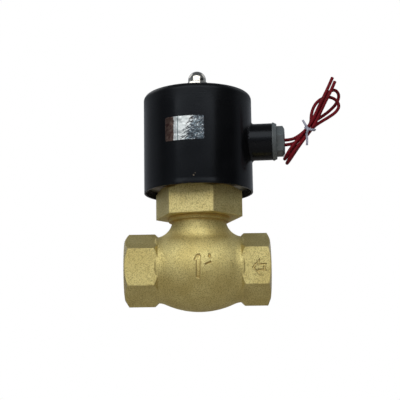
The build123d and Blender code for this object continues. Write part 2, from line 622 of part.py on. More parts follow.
def route_radii(points):
    """The largest arc that fits at each corner of a route, leaving a tenth of each run."""
    corners = [Vector(*p) for p in points]
    radii = []
    for before, here, after in zip(corners, corners[1:], corners[2:]):
        arriving = here - before
        leaving = after - here
        turn = math.radians(arriving.get_angle(leaving))
        radii.append(0.45 * min(arriving.length, leaving.length) / math.tan(turn / 2))
    return radii


def lead_wire(points):
    """A lead as a round tube along straight runs joined by tangent arcs."""
    radii = route_radii(points)
    path = FilletPolyline(*points, radius=radii)
    section = Plane(origin=path @ 0, z_dir=path % 0) * Circle(WIRE_D / 2)
    tube = sweep(section, path=path)
    expected = path.length * math.pi * (WIRE_D / 2) ** 2
    print(f"lead {path.length:.1f} mm, volume {tube.volume:.1f} of {expected:.1f} mm3, radii",
          [round(r, 1) for r in radii])
    return tube


def twist_tie():
    """The plastic-covered wire tie: a band round the six strands, and its two tails."""
    across = Plane(origin=TIE_KNOT, x_dir=(0.788, 0, -0.616), z_dir=(0.616, 0, 0.788))
    band_path = across * RectangleRounded(*TIE_BAND).wire()
    section = Plane(origin=band_path @ 0, z_dir=band_path % 0) * Circle(TIE_R)
    tie = sweep(section, path=band_path) + bar(TIE_R, *SHORT_TAIL)
    start, elbow, end = LONG_TAIL
    return tie + bar(TIE_R, start, elbow) + Pos(*elbow) * Sphere(TIE_R) + bar(TIE_R, elbow, end)


# --- write the parts --------------------------------------------------------------------
os.makedirs("parts", exist_ok=True)
save("valve_body", valve_body())
save("bonnet", bonnet())
save("bonnet_gasket", bonnet_gasket())
save("guide_tube", guide_tube())
save("tube_nut", tube_nut())
save("tube_seal", tube_seal())
save("fixed_core", fixed_core())
save("shading_ring", shading_ring())
save("piston", piston())
save("piston_ring", piston_ring())
save("seat_disc", seat_disc())
save("disc_washer", disc_washer())
save("disc_screw", disc_screw())
save("lift_cage", lift_cage())
save("piston_spring", spring(13.2, 0.6, POCKET_Z, CEILING_Z, 4.5))
save("plunger", plunger())
save("pilot_seal", pilot_seal())
save("plunger_spring", spring(2.5, 0.4, SPRING_HOLE_Z0, CORE_HOLE_Z1, 9))
save("coil_can", coil_can())
save("conduit_boss", conduit_boss())
save("base_plate", base_plate())
save("flux_washer", flux_washer())
save("bobbin", bobbin())
save("winding", winding())
save("winding_tape", winding_tape())
save("lower_pole_sleeve", pole_sleeve(BOBBIN_Z0, BOBBIN_Z0 + LOWER_SLEEVE_LENGTH))
save("upper_pole_sleeve", pole_sleeve(BOBBIN_Z1 - UPPER_SLEEVE_LENGTH, BOBBIN_Z1))
save("foil_label", foil_label())
save("gland_body", gland_body())
save("gland_grommet", gland_grommet())
save("flat_washer", flat_washer())
save("spring_washer", spring_washer())
save("acorn_nut", acorn_nut())
save("lead_wire_1", lead_wire(LEAD_1))
save("lead_wire_2", lead_wire(LEAD_2))
save("twist_tie", twist_tie())
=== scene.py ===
"""A one-inch steam solenoid valve, dressed for a picture piece by piece, as it is put together."""
import math

import bpy
import numpy as np
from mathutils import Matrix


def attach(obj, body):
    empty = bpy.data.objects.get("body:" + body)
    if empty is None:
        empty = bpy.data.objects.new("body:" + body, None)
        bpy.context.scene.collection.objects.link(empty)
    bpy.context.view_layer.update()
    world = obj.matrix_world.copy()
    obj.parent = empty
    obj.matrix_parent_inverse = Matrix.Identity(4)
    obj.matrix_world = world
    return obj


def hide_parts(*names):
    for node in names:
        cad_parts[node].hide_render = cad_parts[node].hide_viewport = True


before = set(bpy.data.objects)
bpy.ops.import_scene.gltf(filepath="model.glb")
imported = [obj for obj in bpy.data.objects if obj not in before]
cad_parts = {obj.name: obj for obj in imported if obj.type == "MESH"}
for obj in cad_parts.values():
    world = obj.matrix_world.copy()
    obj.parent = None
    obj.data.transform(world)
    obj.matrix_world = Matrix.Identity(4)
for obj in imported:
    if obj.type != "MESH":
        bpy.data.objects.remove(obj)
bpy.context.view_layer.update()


# --- camera ---------------------------------------------------------------------------
# A long lens a little lower than the ports, looking up at the coil from the front.
camera = bpy.data.objects.new("camera", bpy.data.cameras.new("camera"))
camera.data.sensor_width = 36.0
camera.data.lens = 101.1
camera.location = (0.0008, -0.740, -0.092)
camera.rotation_mode = "ZYX"
camera.rotation_euler = (math.radians(100.65), 0.0, math.radians(-0.84))
bpy.context.collection.objects.link(camera)
bpy.context.scene.camera = camera


# --- the two leads --------------------------------------------------------------------
# Two stranded copper leads in dark red silicone rubber, 2.2 mm across. They come out of
# the grommet, go round one upper loop each, fold below and end cut off square on top.
def node(tree, kind, inputs=None, **settings):
    """One shader node: its settings, and for each input a value or the output that feeds it."""
    made = tree.nodes.new(kind)
    for key, value in settings.items():
        setattr(made, key, value)
    for key, value in (inputs or {}).items():
        if isinstance(value, bpy.types.NodeSocket):
            tree.links.new(value, made.inputs[key])
        else:
            made.inputs[key].default_value = value
    return made


def maths(tree, operation, first, second=0.0, third=0.0):
    """The result of one Math node; a smooth step takes the value, then where it starts and ends."""
    if operation == "SMOOTHSTEP":
        step = node(tree, "ShaderNodeMapRange", {"Value": first, "From Min": second, "From Max": third},
                    interpolation_type="SMOOTHSTEP")
        return step.outputs["Result"]
    return node(tree, "ShaderNodeMath", {0: first, 1: second, 2: third}, operation=operation).outputs[0]


def blended(tree, share, first, second):
    """The colour between two colours, by a share from 0 to 1."""
    mix = node(tree, "ShaderNodeMix", {"Factor": share, "A": first, "B": second}, data_type="RGBA")
    return mix.outputs["Result"]


def shader_group(name, inputs, outputs):
    """An empty node group with these float inputs and these outputs, and its two end nodes."""
    tree = bpy.data.node_groups.new(name, "ShaderNodeTree")
    for label, value in inputs.items():
        socket = tree.interface.new_socket(label, in_out="INPUT", socket_type="NodeSocketFloat")
        socket.default_value = value
    for label, kind in outputs.items():
        tree.interface.new_socket(label, in_out="OUTPUT", socket_type="NodeSocket" + kind)
    return tree, tree.nodes.new("NodeGroupInput").outputs, tree.nodes.new("NodeGroupOutput").inputs


def uneven_group():
    """Patches and grain: two noises of the object's own coordinates, coarse and fine, each 0 to 1."""
    tree, given, result = shader_group(
        "uneven", {"Patch Size": 0.01, "Grain Size": 0.0006}, {"Patches": "Float", "Grain": "Float"})
    place = node(tree, "ShaderNodeTexCoord").outputs["Object"]
    for size, answer, detail in (("Patch Size", "Patches", 2.0), ("Grain Size", "Grain", 3.0)):
        scale = maths(tree, "DIVIDE", 1.0, given[size])
        noise = node(tree, "ShaderNodeTexNoise", {"Vector": place, "Scale": scale, "Detail": detail})
        tree.links.new(maths(tree, "SMOOTHSTEP", noise.outputs["Fac"], 0.3, 0.7), result[answer])
    return tree


def finish(name, **sockets):
    """A new material, its node tree and its shader, whose plain sockets take these values."""
    material = bpy.data.materials.new(name)
    material.use_nodes = True
    shader = material.node_tree.nodes["Principled BSDF"]
    for socket, value in sockets.items():
        shader.inputs[socket.replace("_", " ")].default_value = value
    return material, material.node_tree, shader


def effect(tree, group, **values):
    """The outputs of a node group put into a material with its own values."""
    made = node(tree, "ShaderNodeGroup", node_tree=group)
    for label, value in values.items():
        made.inputs[label.replace("_", " ")].default_value = value
    return made.outputs


def bumped(tree, shader, height, depth, strength=1.0, normal=None):
    """Feeds the shader a normal raised by a height map of this depth in metres."""
    inputs = {"Height": height, "Distance": depth, "Strength": strength}
    if normal is not None:
        inputs["Normal"] = normal
    tree.links.new(node(tree, "ShaderNodeBump", inputs).outputs["Normal"], shader.inputs["Normal"])


def feeds(tree, shader, **sources):
    """Links these outputs to the shader's sockets of the same names."""
    for socket, source in sources.items():
        tree.links.new(source, shader.inputs[socket.replace("_", " ")])


def rubber_lead_finish():
    """Dark red silicone rubber: a soft shine, faint smears, and a little dust in the grain."""
    material, tree, shader = finish("lead_rubber", Specular_IOR_Level=0.15)
    rub = effect(tree, UNEVEN, Patch_Size=0.007, Grain_Size=0.0004)
    colour = blended(tree, rub["Patches"], (0.125, 0.0020, 0.0060, 1), (0.175, 0.0035, 0.0100, 1))
    feeds(tree, shader, Base_Color=colour,
          Roughness=maths(tree, "MULTIPLY_ADD", rub["Patches"], 0.12, 0.52))
    bumped(tree, shader, rub["Grain"], 0.00001)
    return material


LEAD_DIAMETER = 0.0022
LEAD_1 = [
    (0.0569, -0.0060, 0.0860), (0.0622, -0.00656, 0.0860), (0.0668, -0.0063, 0.0880),
    (0.0723, -0.0060, 0.0924), (0.0763, -0.0060, 0.0974), (0.0766, -0.0056, 0.1037),
    (0.0788, -0.0048, 0.1099), (0.0828, -0.00369, 0.1145), (0.0884, -0.00327, 0.1167),
    (0.0939, -0.00316, 0.1149), (0.0964, -0.00316, 0.1099), (0.0936, -0.00327, 0.1055),
    (0.0886, -0.00348, 0.1021), (0.0834, -0.00358, 0.0991), (0.0783, -0.00364, 0.0958),
    (0.0743, -0.00348, 0.0908), (0.0704, -0.0024, 0.0859), (0.0663, 0.0, 0.0804),
    (0.0628, 0.0014, 0.0754), (0.0602, -0.0011, 0.0715), (0.0591, -0.0060, 0.0700),
    (0.0602, -0.0109, 0.0715), (0.0628, -0.0134, 0.0754), (0.0664, -0.0122, 0.0802),
    (0.0703, -0.0098, 0.0852), (0.0743, -0.00852, 0.0904), (0.0783, -0.00836, 0.0958),
    (0.0813, -0.00831, 0.1017), (0.0844, -0.00821, 0.1081), (0.0876, -0.00821, 0.1144),
    (0.0908, -0.00821, 0.1203), (0.0932, -0.0082, 0.1258),
]
LEAD_2 = [
    (0.0569, -0.0060, 0.0827), (0.0620, -0.00654, 0.0827), (0.0674, -0.0062, 0.0854),
    (0.0743, -0.0060, 0.0908), (0.0783, -0.0060, 0.0958), (0.0806, -0.0060, 0.1015),
    (0.0826, -0.0060, 0.1079), (0.0852, -0.0061, 0.1141), (0.0890, -0.0053, 0.1195),
    (0.0939, -0.0022, 0.1220), (0.0972, 0.0016, 0.1189), (0.0952, 0.0030, 0.1134),
    (0.0906, 0.0014, 0.1084), (0.0856, -0.0014, 0.1041), (0.0806, -0.00338, 0.1005),
    (0.0763, -0.00364, 0.0974), (0.0723, -0.00353, 0.0924), (0.0683, -0.0024, 0.0873),
    (0.0646, 0.0, 0.0830), (0.0613, 0.0014, 0.0783), (0.0587, -0.0011, 0.0744),
    (0.0576, -0.0060, 0.0729), (0.0587, -0.0109, 0.0744), (0.0613, -0.0134, 0.0783),
    (0.0646, -0.0122, 0.0829), (0.0681, -0.0098, 0.0874), (0.0720, -0.00852, 0.0920),
    (0.0763, -0.00836, 0.0974), (0.0792, -0.00873, 0.1031), (0.0822, -0.00915, 0.1093),
    (0.0854, -0.00936, 0.1155), (0.0884, -0.00925, 0.1215), (0.0915, -0.0090, 0.1283),
]
LEAD_LENGTHS = (0.188, 0.200)


def smooth_line(name, route, thickness):
    """A NURBS curve with the route's points as its control points, and this radius."""
    curve = bpy.data.curves.new(name, "CURVE")
    curve.dimensions = "3D"
    curve.resolution_u = 10
    spline = curve.splines.new("NURBS")
    spline.points.add(len(route) - 1)
    spline.points.foreach_set("co", np.column_stack([route, np.ones(len(route))]).ravel())
    spline.order_u = 3
    spline.use_endpoint_u = True
    curve.bevel_depth = thickness
    curve.bevel_resolution = 5
    curve.use_fill_caps = True
    return curve


def piece(name, data, body, material):
    """An object of this mesh or curve that rides on a CAD body, with its finish."""
    made = bpy.data.objects.new(name, data)
    bpy.context.collection.objects.link(made)
    data.materials.append(material)
    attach(made, body)
    return made


UNEVEN = uneven_group()
LEAD_RUBBER = rubber_lead_finish()
leads = {}
for number, route, length in zip((1, 2), (LEAD_1, LEAD_2), LEAD_LENGTHS):
    name = f"lead_{number}"
    line = smooth_line(name, route, LEAD_DIAMETER / 2)
    lead = piece(name, line, "coil", LEAD_RUBBER)
    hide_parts(f"lead_wire_{number}")
    leads[number] = (lead, route, length)


# --- cut conductor ends ---------------------------------------------------------------
# Where each lead is cut, seven tinned copper strands show, a little proud of the rubber.
STRAND_RADIUS = 0.00016
STRAND_CIRCLE = 0.00034                            # six strands stand on it, round the seventh
STRAND_REACH = (-0.0006, 0.00025, 0.00034, 0.00038)    # along the strand, from the cut
STRAND_SHARE = (1.0, 1.0, 0.75, 0.1875)            # of the radius, at each reach


def grid_mesh(name, points, round_rows=False, round_columns=False, capped=False):
    """A smooth mesh of four-sided faces over a grid of points (rows, columns, 3). Rows or columns
    may close on themselves, and capped closes the first and last rows with one face each."""
    rows, columns = points.shape[:2]
    index = np.arange(rows * columns).reshape(rows, columns)
    if round_rows:
        index = np.vstack([index, index[:1]])
    if round_columns:
        index = np.hstack([index, index[:, :1]])
    corners = (index[:-1, :-1], index[:-1, 1:], index[1:, 1:], index[1:, :-1])
    faces = np.stack(corners, axis=-1).reshape(-1, 4).tolist()
    if capped:
        faces += [index[0, :columns][::-1].tolist(), index[rows - 1, :columns].tolist()]
    mesh = bpy.data.meshes.new(name)
    mesh.from_pydata(points.reshape(-1, 3).tolist(), [], faces)
    mesh.polygons.foreach_set("use_smooth", np.full(len(faces), True))
    return mesh


def joined(name, meshes):
    """One smooth mesh of several."""
    points, faces = [], []
    for mesh in meshes:
        start = len(points)
        points += [corner.co[:] for corner in mesh.vertices]
        faces += [[start + corner for corner in face.vertices] for face in mesh.polygons]
    whole = bpy.data.meshes.new(name)
    whole.from_pydata(points, [], faces)
    whole.polygons.foreach_set("use_smooth", np.full(len(faces), True))
    return whole


def strand_ends(name, end, before):
    """Seven short round rods along the lead's last run, six of them on a circle about the middle
    one, each with a rounded tip: point = end + centre + along * s + r(s) * around."""
    end, before = np.array(end), np.array(before)
    along = (end - before) / np.linalg.norm(end - before)
    across = np.cross(along, (0, 1, 0))
    across = across / np.linalg.norm(across)
    other = np.cross(along, across)
    angle = np.linspace(0, 2 * math.pi, 10, endpoint=False)
    reach = np.array(STRAND_REACH)[:, None, None]
    radius = STRAND_RADIUS * np.array(STRAND_SHARE)[:, None, None]
    circle = np.cos(angle)[:, None] * across + np.sin(angle)[:, None] * other
    rods = []
    for turn in range(7):
        at = math.radians(60 * turn + 10)
        centre = (math.cos(at) * across + math.sin(at) * other) * (STRAND_CIRCLE if turn else 0.0)
        rods.append(grid_mesh(name, end + centre + along * reach + circle * radius,
                              round_columns=True, capped=True))
    return joined(name, rods)


def tinned_copper_finish():
    """Tinned copper strands, dull silver with a little copper where the cut smeared them."""
    material, tree, shader = finish("tinned_copper", Metallic=1.0, Roughness=0.38)
    rub = effect(tree, UNEVEN, Patch_Size=0.0005, Grain_Size=0.0001)
    feeds(tree, shader,
          Base_Color=blended(tree, rub["Patches"], (0.35, 0.31, 0.28, 1), (0.42, 0.24, 0.16, 1)))
    return material


TINNED_COPPER = tinned_copper_finish()
for number, (lead, route, length) in leads.items():
    name = f"lead_{number}_strands"
    strands = strand_ends(name, route[-1], route[-2])
    piece(name, strands, "coil", TINNED_COPPER)


# --- wire tie -------------------------------------------------------------------------
# A grey plastic-covered wire round the six strands: its short tail comes down from the
# left and crosses to the right, passes behind, and hangs from the crossing as a long tail.
TIE_WIDTH = 0.00150
TIE_THICKNESS = 0.00095
TIE_UPRIGHT = (0.616, 0.0, 0.788)                  # along the strands, where it holds them
TIE_ROUTE = [
    (0.0703, -0.0112, 0.0984), (0.0715, -0.0112, 0.0961), (0.0727, -0.0112, 0.0938),
    (0.0738, -0.0112, 0.0921), (0.0757, -0.0109, 0.0919), (0.0779, -0.0101, 0.0919),
    (0.0789, -0.0075, 0.0925), (0.0787, -0.0035, 0.0931), (0.0769, -0.0015, 0.0942),
    (0.0741, -0.0017, 0.0951), (0.0725, -0.0037, 0.0952), (0.0720, -0.0075, 0.0945),
    (0.0724, -0.0108, 0.0930), (0.0734, -0.0122, 0.0918), (0.0731, -0.0120, 0.0904),
    (0.0725, -0.0112, 0.0885), (0.0730, -0.0108, 0.0855), (0.0726, -0.0106, 0.0813),
]


def line_points(name, route):
    """The points of a route's smooth line, in order."""
    holder = bpy.data.objects.new(name, smooth_line(name, route, 0.0))
    mesh = bpy.data.meshes.new_from_object(holder)
    points = np.empty(len(mesh.vertices) * 3)
    mesh.vertices.foreach_get("co", points)
    bpy.data.objects.remove(holder)
    return points.reshape(-1, 3)


def ribbon(name, line, width, thickness, upright):
    """A soft-edged flat strip along a line. Its section is |a / w|^3 + |b / t|^3 = 1, with a along
    the upright direction made square to the line, and b square to both."""
    along = np.gradient(line, axis=0)
    along /= np.linalg.norm(along, axis=1)[:, None]
    a = np.array(upright) - along * (along @ np.array(upright))[:, None]
    a /= np.linalg.norm(a, axis=1)[:, None]
    b = np.cross(along, a)
    turn = np.linspace(0, 2 * math.pi, 16, endpoint=False)
    wide = np.sign(np.cos(turn)) * np.abs(np.cos(turn)) ** (2 / 3) * width / 2
    thick = np.sign(np.sin(turn)) * np.abs(np.sin(turn)) ** (2 / 3) * thickness / 2
    grid = line[:, None] + wide[None, :, None] * a[:, None] + thick[None, :, None] * b[:, None]
    return grid_mesh(name, grid, round_columns=True, capped=True)


def tie_plastic_finish():
    """Soft lilac-grey plastic over a wire: satin, with handling marks."""
    material, tree, shader = finish("tie_plastic", Specular_IOR_Level=0.4)
    rub = effect(tree, UNEVEN, Patch_Size=0.003, Grain_Size=0.0003)
    feeds(tree, shader,
          Base_Color=blended(tree, rub["Patches"], (0.270, 0.275, 0.350, 1), (0.390, 0.395, 0.480, 1)),
          Roughness=maths(tree, "MULTIPLY_ADD", rub["Grain"], 0.2, 0.35))
    bumped(tree, shader, rub["Grain"], 0.00003)
    return material


tie_mesh = ribbon("wire_tie", line_points("wire_tie", TIE_ROUTE), TIE_WIDTH, TIE_THICKNESS, TIE_UPRIGHT)
tie = piece("wire_tie", tie_mesh, "coil", tie_plastic_finish())
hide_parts("twist_tie")


# --- valve body -----------------------------------------------------------------------
# One brass casting, shot-blasted to a matt golden grain: a swollen barrel between two
# hexagons, a neck, a flow arrow and the figure one sunk in. Its ports are cut with pipe thread.
CREST_RADIUS = 0.01515
THREAD_DEPTH = 0.00148
THREAD_PITCH = 0.002309
THREAD_FADE = 0.0012                               # length of the run-out at each end
THREAD_ROWS = 97
MIDDLE_X = -0.00145                                # half way between the two end faces
WALL_START, WALL_END = 0.03085, 0.04635            # of each socket's wall, from the middle
SOCKET_WALLS = ((MIDDLE_X + WALL_START, MIDDLE_X + WALL_END),
                (MIDDLE_X - WALL_END, MIDDLE_X - WALL_START))
MERGE = 0.000001                                   # points that round to the same place are one
SLACK = 0.00002                                    # how far a wall's points may lie off its ends
OLIVE_SPECK = (0.33, 0.25, 0.08, 1)
PIT_BROWN = (0.16, 0.11, 0.04, 1)
# orange-brown in corners: partly patina, partly painted shade
CORNER_PATINA_AND_SHADE = (0.60, 0.34, 0.05, 1)
# painted shade in the small sunk marks
SUNK_MARK_SHADE = (0.22, 0.15, 0.05, 1)
WORN_BRASS = (0.80, 0.68, 0.33, 1)
THREAD_CREST = (0.82, 0.68, 0.35, 1)
# painted shade in the thread roots
THREAD_ROOT_SHADE = (0.40, 0.29, 0.10, 1)


def edge_group():
    """Edges: where a normal rounded over Radius leans from the true one, and that rounded normal,
    leaned Lean times as far."""
    tree, given, result = shader_group(
        "edges", {"Radius": 0.0006, "Lean": 1.0}, {"Edge": "Float", "Rounded": "Vector"})
    rounded = node(tree, "ShaderNodeBevel", {"Radius": given["Radius"]}, samples=4).outputs["Normal"]
    true = node(tree, "ShaderNodeNewGeometry").outputs["Normal"]
    likeness = node(tree, "ShaderNodeVectorMath", {0: rounded, 1: true}, operation="DOT_PRODUCT")
    away = maths(tree, "SUBTRACT", 1.0, likeness.outputs["Value"])
    tree.links.new(maths(tree, "SMOOTHSTEP", away, 0.01, 0.16), result["Edge"])
    lean = node(tree, "ShaderNodeVectorMath", {0: rounded, 1: true}, operation="SUBTRACT").outputs[0]
    times = node(tree, "ShaderNodeCombineXYZ", {axis: given["Lean"] for axis in "XYZ"}).outputs[0]
    leaned = node(tree, "ShaderNodeVectorMath", {0: lean, 1: times, 2: true}, operation="MULTIPLY_ADD")
    even = node(tree, "ShaderNodeVectorMath", {0: leaned.outputs[0]}, operation="NORMALIZE")
    tree.links.new(even.outputs[0], result["Rounded"])
    return tree


def crevice_group():
    """Crevices: 1 in a corner that other faces close in within Reach, 0 on open faces."""
    tree, given, result = shader_group("crevices", {"Reach": 0.003}, {"Crevice": "Float"})
    sky = node(tree, "ShaderNodeAmbientOcclusion", {"Distance": given["Reach"]}, samples=6).outputs["AO"]
    tree.links.new(maths(tree, "SMOOTHSTEP", sky, 0.85, 0.35), result["Crevice"])
    return tree


def blasted_group():
    """A shot-blasted casting: Height of overlapping dents and sparse deep pits, and the Pits alone."""
    tree, given, result = shader_group(
        "blasted", {"Dent Size": 0.0007, "Pit Size": 0.0022}, {"Height": "Float", "Pits": "Float"})
    place = node(tree, "ShaderNodeTexCoord").outputs["Object"]
    dents = node(tree, "ShaderNodeTexNoise", {
        "Vector": place, "Scale": maths(tree, "DIVIDE", 1.0, given["Dent Size"]),
        "Detail": 2.0, "Roughness": 0.6})
    bent = node(tree, "ShaderNodeVectorMath", {0: dents.outputs["Color"], 1: (0.0011, 0.0011, 0.0011)},
                operation="MULTIPLY")
    moved = node(tree, "ShaderNodeVectorMath", {0: place, 1: bent.outputs[0]}, operation="ADD").outputs[0]
    cells = node(tree, "ShaderNodeTexVoronoi", {
        "Vector": moved, "Scale": maths(tree, "DIVIDE", 1.0, given["Pit Size"])})
    chosen = maths(tree, "SMOOTHSTEP", node(tree, "ShaderNodeSeparateColor", {
        "Color": cells.outputs["Color"]}).outputs["Red"], 0.70, 0.95)
    near = maths(tree, "SMOOTHSTEP", cells.outputs["Distance"], 0.30, 0.05)
    pits = maths(tree, "MULTIPLY", near, chosen)
    height = maths(tree, "MULTIPLY_ADD", pits, -0.5, dents.outputs["Fac"])
    tree.links.new(height, result["Height"])
    tree.links.new(pits, result["Pits"])
    return tree


def port_group():
    """What is turned at the ports: Bare is 1 on the threads and end faces, and Groove is 0 at the
    crests of the thread and 1 at its roots: g = (1 - cos(2 pi (x / pitch - turn))) / 2."""
    tree, given, result = shader_group(
        "ports", {"Pitch": THREAD_PITCH}, {"Bare": "Float", "Groove": "Float"})
    place = node(tree, "ShaderNodeTexCoord").outputs
    parts = node(tree, "ShaderNodeSeparateXYZ", {"Vector": place["Object"]}).outputs
    facing = node(tree, "ShaderNodeSeparateXYZ", {"Vector": place["Normal"]}).outputs["X"]
    reach = maths(tree, "ABSOLUTE", maths(tree, "SUBTRACT", parts["X"], MIDDLE_X))
    flat = node(tree, "ShaderNodeCombineXYZ", {"X": parts["Y"], "Y": parts["Z"]}).outputs[0]
    away = node(tree, "ShaderNodeVectorMath", {0: flat}, operation="LENGTH").outputs["Value"]
    root = CREST_RADIUS + THREAD_DEPTH
    socket = maths(tree, "MULTIPLY",
                   maths(tree, "SMOOTHSTEP", away, root + 0.00017, root + 0.00002),
                   maths(tree, "SMOOTHSTEP", reach, WALL_START - 0.00045, WALL_START - 0.00005))
    face = maths(tree, "MULTIPLY",
                 maths(tree, "SMOOTHSTEP", maths(tree, "ABSOLUTE", facing), 0.60, 0.66),
                 maths(tree, "SMOOTHSTEP", reach, WALL_END - 0.00115, WALL_END - 0.00075))
    turn = maths(tree, "MULTIPLY", maths(tree, "ARCTAN2", parts["Z"], parts["Y"]), 0.5 / math.pi)
    pitches = maths(tree, "SUBTRACT", maths(tree, "DIVIDE", parts["X"], given["Pitch"]), turn)
    wave = maths(tree, "COSINE", maths(tree, "MULTIPLY", pitches, 2 * math.pi))
    tree.links.new(maths(tree, "MAXIMUM", socket, face), result["Bare"])
    tree.links.new(maths(tree, "MULTIPLY", socket, maths(tree, "MULTIPLY_ADD", wave, -0.5, 0.5)),
                   result["Groove"])
    return tree


def cast_brass_finish(name, patch, dent, pale, deep, ports=None):
    """Blasted brass: golden with olive specks, brown in pits, orange-brown in corners as patina and
    painted shade, painted shade in the small sunk marks, bright on worn edges, and bright and smooth
    where the ports are turned, with painted shade in the thread roots."""
    material, tree, shader = finish(name, Metallic=1.0)
    rub = effect(tree, UNEVEN, Patch_Size=patch, Grain_Size=dent * 1.25)
    cast = effect(tree, BLASTED, Dent_Size=dent, Pit_Size=dent * 3.2)
    edge = effect(tree, EDGES, Radius=0.0007, Lean=2.0)
    corner = effect(tree, CREVICES, Reach=0.0045)["Crevice"]
    sunk_shade = effect(tree, CREVICES, Reach=0.0008)["Crevice"]
    speck = maths(tree, "SMOOTHSTEP", rub["Grain"], 0.40, 1.0)
    # Corners closed in within 4.5 mm are tinted orange-brown: partly patina, partly painted shade.
    corner_patina_and_shade = maths(tree, "MULTIPLY", corner, maths(tree, "MULTIPLY_ADD", sunk_shade, -0.70, 0.85))
    worn = maths(tree, "MULTIPLY", edge["Edge"], maths(tree, "MULTIPLY_ADD", rub["Grain"], 0.5, 0.3))
    colour = blended(tree, rub["Patches"], deep, pale)
    colour = blended(tree, maths(tree, "MULTIPLY", speck, 0.60), colour, OLIVE_SPECK)
    colour = blended(tree, maths(tree, "MULTIPLY", cast["Pits"], 0.6), colour, PIT_BROWN)
    colour = blended(tree, corner_patina_and_shade, colour, CORNER_PATINA_AND_SHADE)
    # The small sunk marks of the arrow and the figure are darkened by a short occlusion mask: painted
    # shade.
    colour = blended(tree, maths(tree, "MULTIPLY", sunk_shade, 0.65), colour, SUNK_MARK_SHADE)
    colour = blended(tree, worn, colour, WORN_BRASS)
    rough = maths(tree, "MULTIPLY_ADD", rub["Grain"], 0.14, 0.44)
    height, facing = cast["Height"], edge["Rounded"]
    if ports is not None:
        port = effect(tree, ports)
        # On the threads the crests are pale and the roots are painted dark: painted shade in the roots.
        colour = blended(tree, port["Bare"], colour,
                         blended(tree, port["Groove"], THREAD_CREST, THREAD_ROOT_SHADE))
        rough = maths(tree, "MULTIPLY_ADD", port["Bare"], -0.22, rough)
        height = maths(tree, "MULTIPLY", height, maths(tree, "MULTIPLY_ADD", port["Bare"], -0.8, 1.0))
        facing = blended(tree, port["Bare"], facing,
                         node(tree, "ShaderNodeNewGeometry").outputs["Normal"])
    feeds(tree, shader, Base_Color=colour, Roughness=maths(tree, "MULTIPLY_ADD", worn, -0.12, rough))
    bumped(tree, shader, height, 0.00040, 0.7, facing)
    return material


def merged_mesh(mesh):
    """The points, triangles and corner normals of a mesh of triangles, with doubled points merged."""
    places = np.empty((len(mesh.vertices), 3))
    normals = np.empty((len(mesh.loops), 3))
    corners = np.empty(len(mesh.loops), dtype=np.int32)
    mesh.vertices.foreach_get("co", places.reshape(-1))
    mesh.loops.foreach_get("vertex_index", corners)
    mesh.corner_normals.foreach_get("vector", normals.reshape(-1))
    keys, merged = np.unique(np.round(places / MERGE), axis=0, return_inverse=True)
    return keys * MERGE, merged.reshape(-1)[corners].reshape(-1, 3), normals.reshape(-1, 3, 3)


def thread_grid(low, high, turn):
    """A thread from x = low to x = high, a row to each x and a column to each turn about it:
    radius = crest + depth * fade * (1 - cos(2 pi x / pitch - turn)) / 2, where the fade is a
    smooth step up from each end. Gives its points, and its normals, which face the axis."""
    x = np.linspace(low, high, THREAD_ROWS)[:, None]
    fade = np.clip(np.minimum(x - low, high - x) / THREAD_FADE, 0.0, 1.0)
    fade = fade * fade * (3 - 2 * fade)
    groove = (1 - np.cos(2 * math.pi * x / THREAD_PITCH - turn)) / 2
    radius = CREST_RADIUS + THREAD_DEPTH * fade * groove
    points = np.stack([x + 0 * turn, radius * np.cos(turn), radius * np.sin(turn)], axis=-1)
    onward = np.roll(points, -1, axis=1) - np.roll(points, 1, axis=1)
    normals = np.cross(np.gradient(points, axis=0), onward)
    return points, normals / np.linalg.norm(normals, axis=-1, keepdims=True)


def band_triangles(rows, columns):
    """The triangles of a grid whose columns close on themselves, as places in the flat grid."""
    cell = np.arange(rows * columns).reshape(rows, columns)
    cell = np.hstack([cell, cell[:, :1]])
    a, b, c, d = cell[:-1, :-1], cell[1:, :-1], cell[1:, 1:], cell[:-1, 1:]
    halves = [np.stack(half, axis=-1).reshape(-1, 3) for half in ((a, b, c), (a, c, d))]
    return np.concatenate(halves)


def threaded_copy(name, solid, walls):
    """A merged copy of a solid, with each plain socket wall taken out and a thread sewn in between
    the rings of points that the wall ended on."""
    points, faces, normals = merged_mesh(solid.data)
    for low, high in walls:
        x, angle = points[:, 0], np.arctan2(points[:, 2], points[:, 1])
        off_crest = np.abs(np.hypot(points[:, 1], points[:, 2]) - CREST_RADIUS)
        on_wall = (off_crest < SLACK) & (x > low - SLACK) & (x < high + SLACK)
        kept = ~on_wall[faces].all(axis=1)
        rings = [np.flatnonzero(on_wall & (np.abs(x - end) < SLACK)) for end in (low, high)]
        first, last = (ring[np.argsort(angle[ring])] for ring in rings)
        thread, facing = thread_grid(low, high, angle[first])
        inner = thread[1:-1].reshape(-1, 3)
        owner = np.concatenate([first, len(points) + np.arange(len(inner)), last])
        band = band_triangles(THREAD_ROWS, len(first))
        faces = np.concatenate([faces[kept], owner[band]])
        normals = np.concatenate([normals[kept], facing.reshape(-1, 3)[band]])
        points = np.concatenate([points, inner])
    mesh = bpy.data.meshes.new(name)
    mesh.from_pydata(points.tolist(), [], faces.tolist())
    mesh.polygons.foreach_set("use_smooth", np.full(len(faces), True))
    mesh.normals_split_custom_set(normals.reshape(-1, 3).tolist())
    return mesh


def dress(material, *names):
    """Puts a finish on the solids of these names."""
    for name in names:
        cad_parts[name].data.materials[0] = material


EDGES = edge_group()
CREVICES = crevice_group()
BLASTED = blasted_group()
CAST_BRASS = cast_brass_finish(
    "cast_brass", patch=0.014, dent=0.0005, pale=(0.76, 0.66, 0.29, 1), deep=(0.66, 0.55, 0.22, 1),
    ports=port_group())
threaded_mesh = threaded_copy("valve_body_threaded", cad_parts["valve_body"], SOCKET_WALLS)
threaded_body = piece("valve_body_threaded", threaded_mesh, "body", CAST_BRASS)
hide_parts("valve_body")


